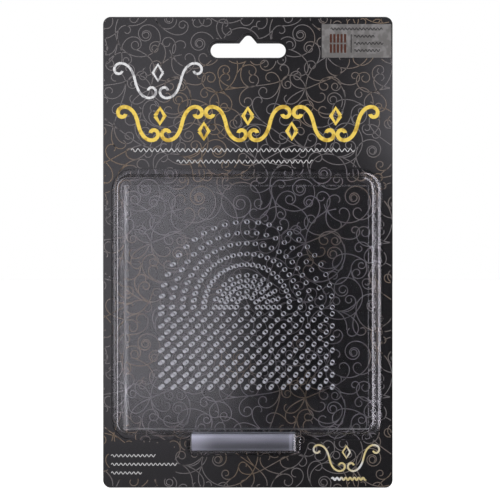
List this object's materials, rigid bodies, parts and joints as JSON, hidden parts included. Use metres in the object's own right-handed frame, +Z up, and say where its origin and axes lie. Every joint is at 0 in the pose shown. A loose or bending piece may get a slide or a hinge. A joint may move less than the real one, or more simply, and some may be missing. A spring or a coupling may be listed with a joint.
{
  "type": "carded wire jig",
  "caption": "Clear square wire bending jig with a fan and rows of peg holes and its loose metal pegs, sealed under a clear blister on a hanging card.",
  "frame": {"origin": "centre of the long hang slot, in the card's back face", "axes": "+Z up the hanging card, -Y out of the printed front towards the viewer, +X to the viewer's right"},
  "size_m": [0.114, 0.0077, 0.1854],
  "materials": {
    "printed_board": "satin",
    "clear_sheet": "gloss",
    "clear_acrylic": "gloss",
    "frosted_film": "matte",
    "peg_metal": "polished"
  },
  "bodies": {
    "card": {"back_card": "printed_board"},
    "front": {"front_card": "printed_board", "blister": "clear_sheet"},
    "plate": {"jig_plate": "clear_acrylic"},
    "sleeve": {"peg_sleeve": "frosted_film"},
    "peg_1": {"peg_1": "peg_metal"},
    "peg_2": {"peg_2": "peg_metal"},
    "peg_3": {"peg_3": "peg_metal"},
    "peg_4": {"peg_4": "peg_metal"},
    "peg_5": {"peg_5": "peg_metal"},
    "peg_6": {"peg_6": "peg_metal"},
    "peg_7": {"peg_7": "peg_metal"},
    "peg_8": {"peg_8": "peg_metal"},
    "peg_9": {"peg_9": "peg_metal"},
    "peg_10": {"peg_10": "peg_metal"}
  },
  "joints": [
    {"name": "plate_lift", "type": "slide", "parent": "card", "child": "plate", "axis": [0, -1, 0], "range_m": [0, 0.06]},
    {"name": "front_lift", "type": "slide", "parent": "card", "child": "front", "axis": [0, -1, 0], "range_m": [0, 0.12]},
    {"name": "sleeve_lift", "type": "slide", "parent": "card", "child": "sleeve", "axis": [0, -1, 0], "range_m": [0, 0.024]},
    {"name": "peg_1_slide", "type": "slide", "parent": "sleeve", "child": "peg_1", "axis": [-1, 0, 0], "range_m": [0, 0.0102]},
    {"name": "peg_2_slide", "type": "slide", "parent": "sleeve", "child": "peg_2", "axis": [-1, 0, 0], "range_m": [0, 0.0092]},
    {"name": "peg_3_slide", "type": "slide", "parent": "sleeve", "child": "peg_3", "axis": [-1, 0, 0], "range_m": [0, 0.0082]},
    {"name": "peg_4_slide", "type": "slide", "parent": "sleeve", "child": "peg_4", "axis": [-1, 0, 0], "range_m": [0, 0.0072]},
    {"name": "peg_5_slide", "type": "slide", "parent": "sleeve", "child": "peg_5", "axis": [-1, 0, 0], "range_m": [0, 0.0062]},
    {"name": "peg_6_slide", "type": "slide", "parent": "sleeve", "child": "peg_6", "axis": [1, 0, 0], "range_m": [0, 0.0102]},
    {"name": "peg_7_slide", "type": "slide", "parent": "sleeve", "child": "peg_7", "axis": [1, 0, 0], "range_m": [0, 0.0092]},
    {"name": "peg_8_slide", "type": "slide", "parent": "sleeve", "child": "peg_8", "axis": [1, 0, 0], "range_m": [0, 0.0082]},
    {"name": "peg_9_slide", "type": "slide", "parent": "sleeve", "child": "peg_9", "axis": [1, 0, 0], "range_m": [0, 0.0072]},
    {"name": "peg_10_slide", "type": "slide", "parent": "sleeve", "child": "peg_10", "axis": [1, 0, 0], "range_m": [0, 0.0062]}
  ],
  "couplings": [
    {"joint": "front_lift", "follows": "plate_lift", "ratio": 2},
    {"joint": "sleeve_lift", "follows": "plate_lift", "ratio": 0.4},
    {"joint": "peg_1_slide", "follows": "plate_lift", "ratio": 0.16667},
    {"joint": "peg_2_slide", "follows": "plate_lift", "ratio": 0.15},
    {"joint": "peg_3_slide", "follows": "plate_lift", "ratio": 0.13333},
    {"joint": "peg_4_slide", "follows": "plate_lift", "ratio": 0.11667},
    {"joint": "peg_5_slide", "follows": "plate_lift", "ratio": 0.1},
    {"joint": "peg_6_slide", "follows": "plate_lift", "ratio": 0.16667},
    {"joint": "peg_7_slide", "follows": "plate_lift", "ratio": 0.15},
    {"joint": "peg_8_slide", "follows": "plate_lift", "ratio": 0.13333},
    {"joint": "peg_9_slide", "follows": "plate_lift", "ratio": 0.11667},
    {"joint": "peg_10_slide", "follows": "plate_lift", "ratio": 0.1}
  ]
}
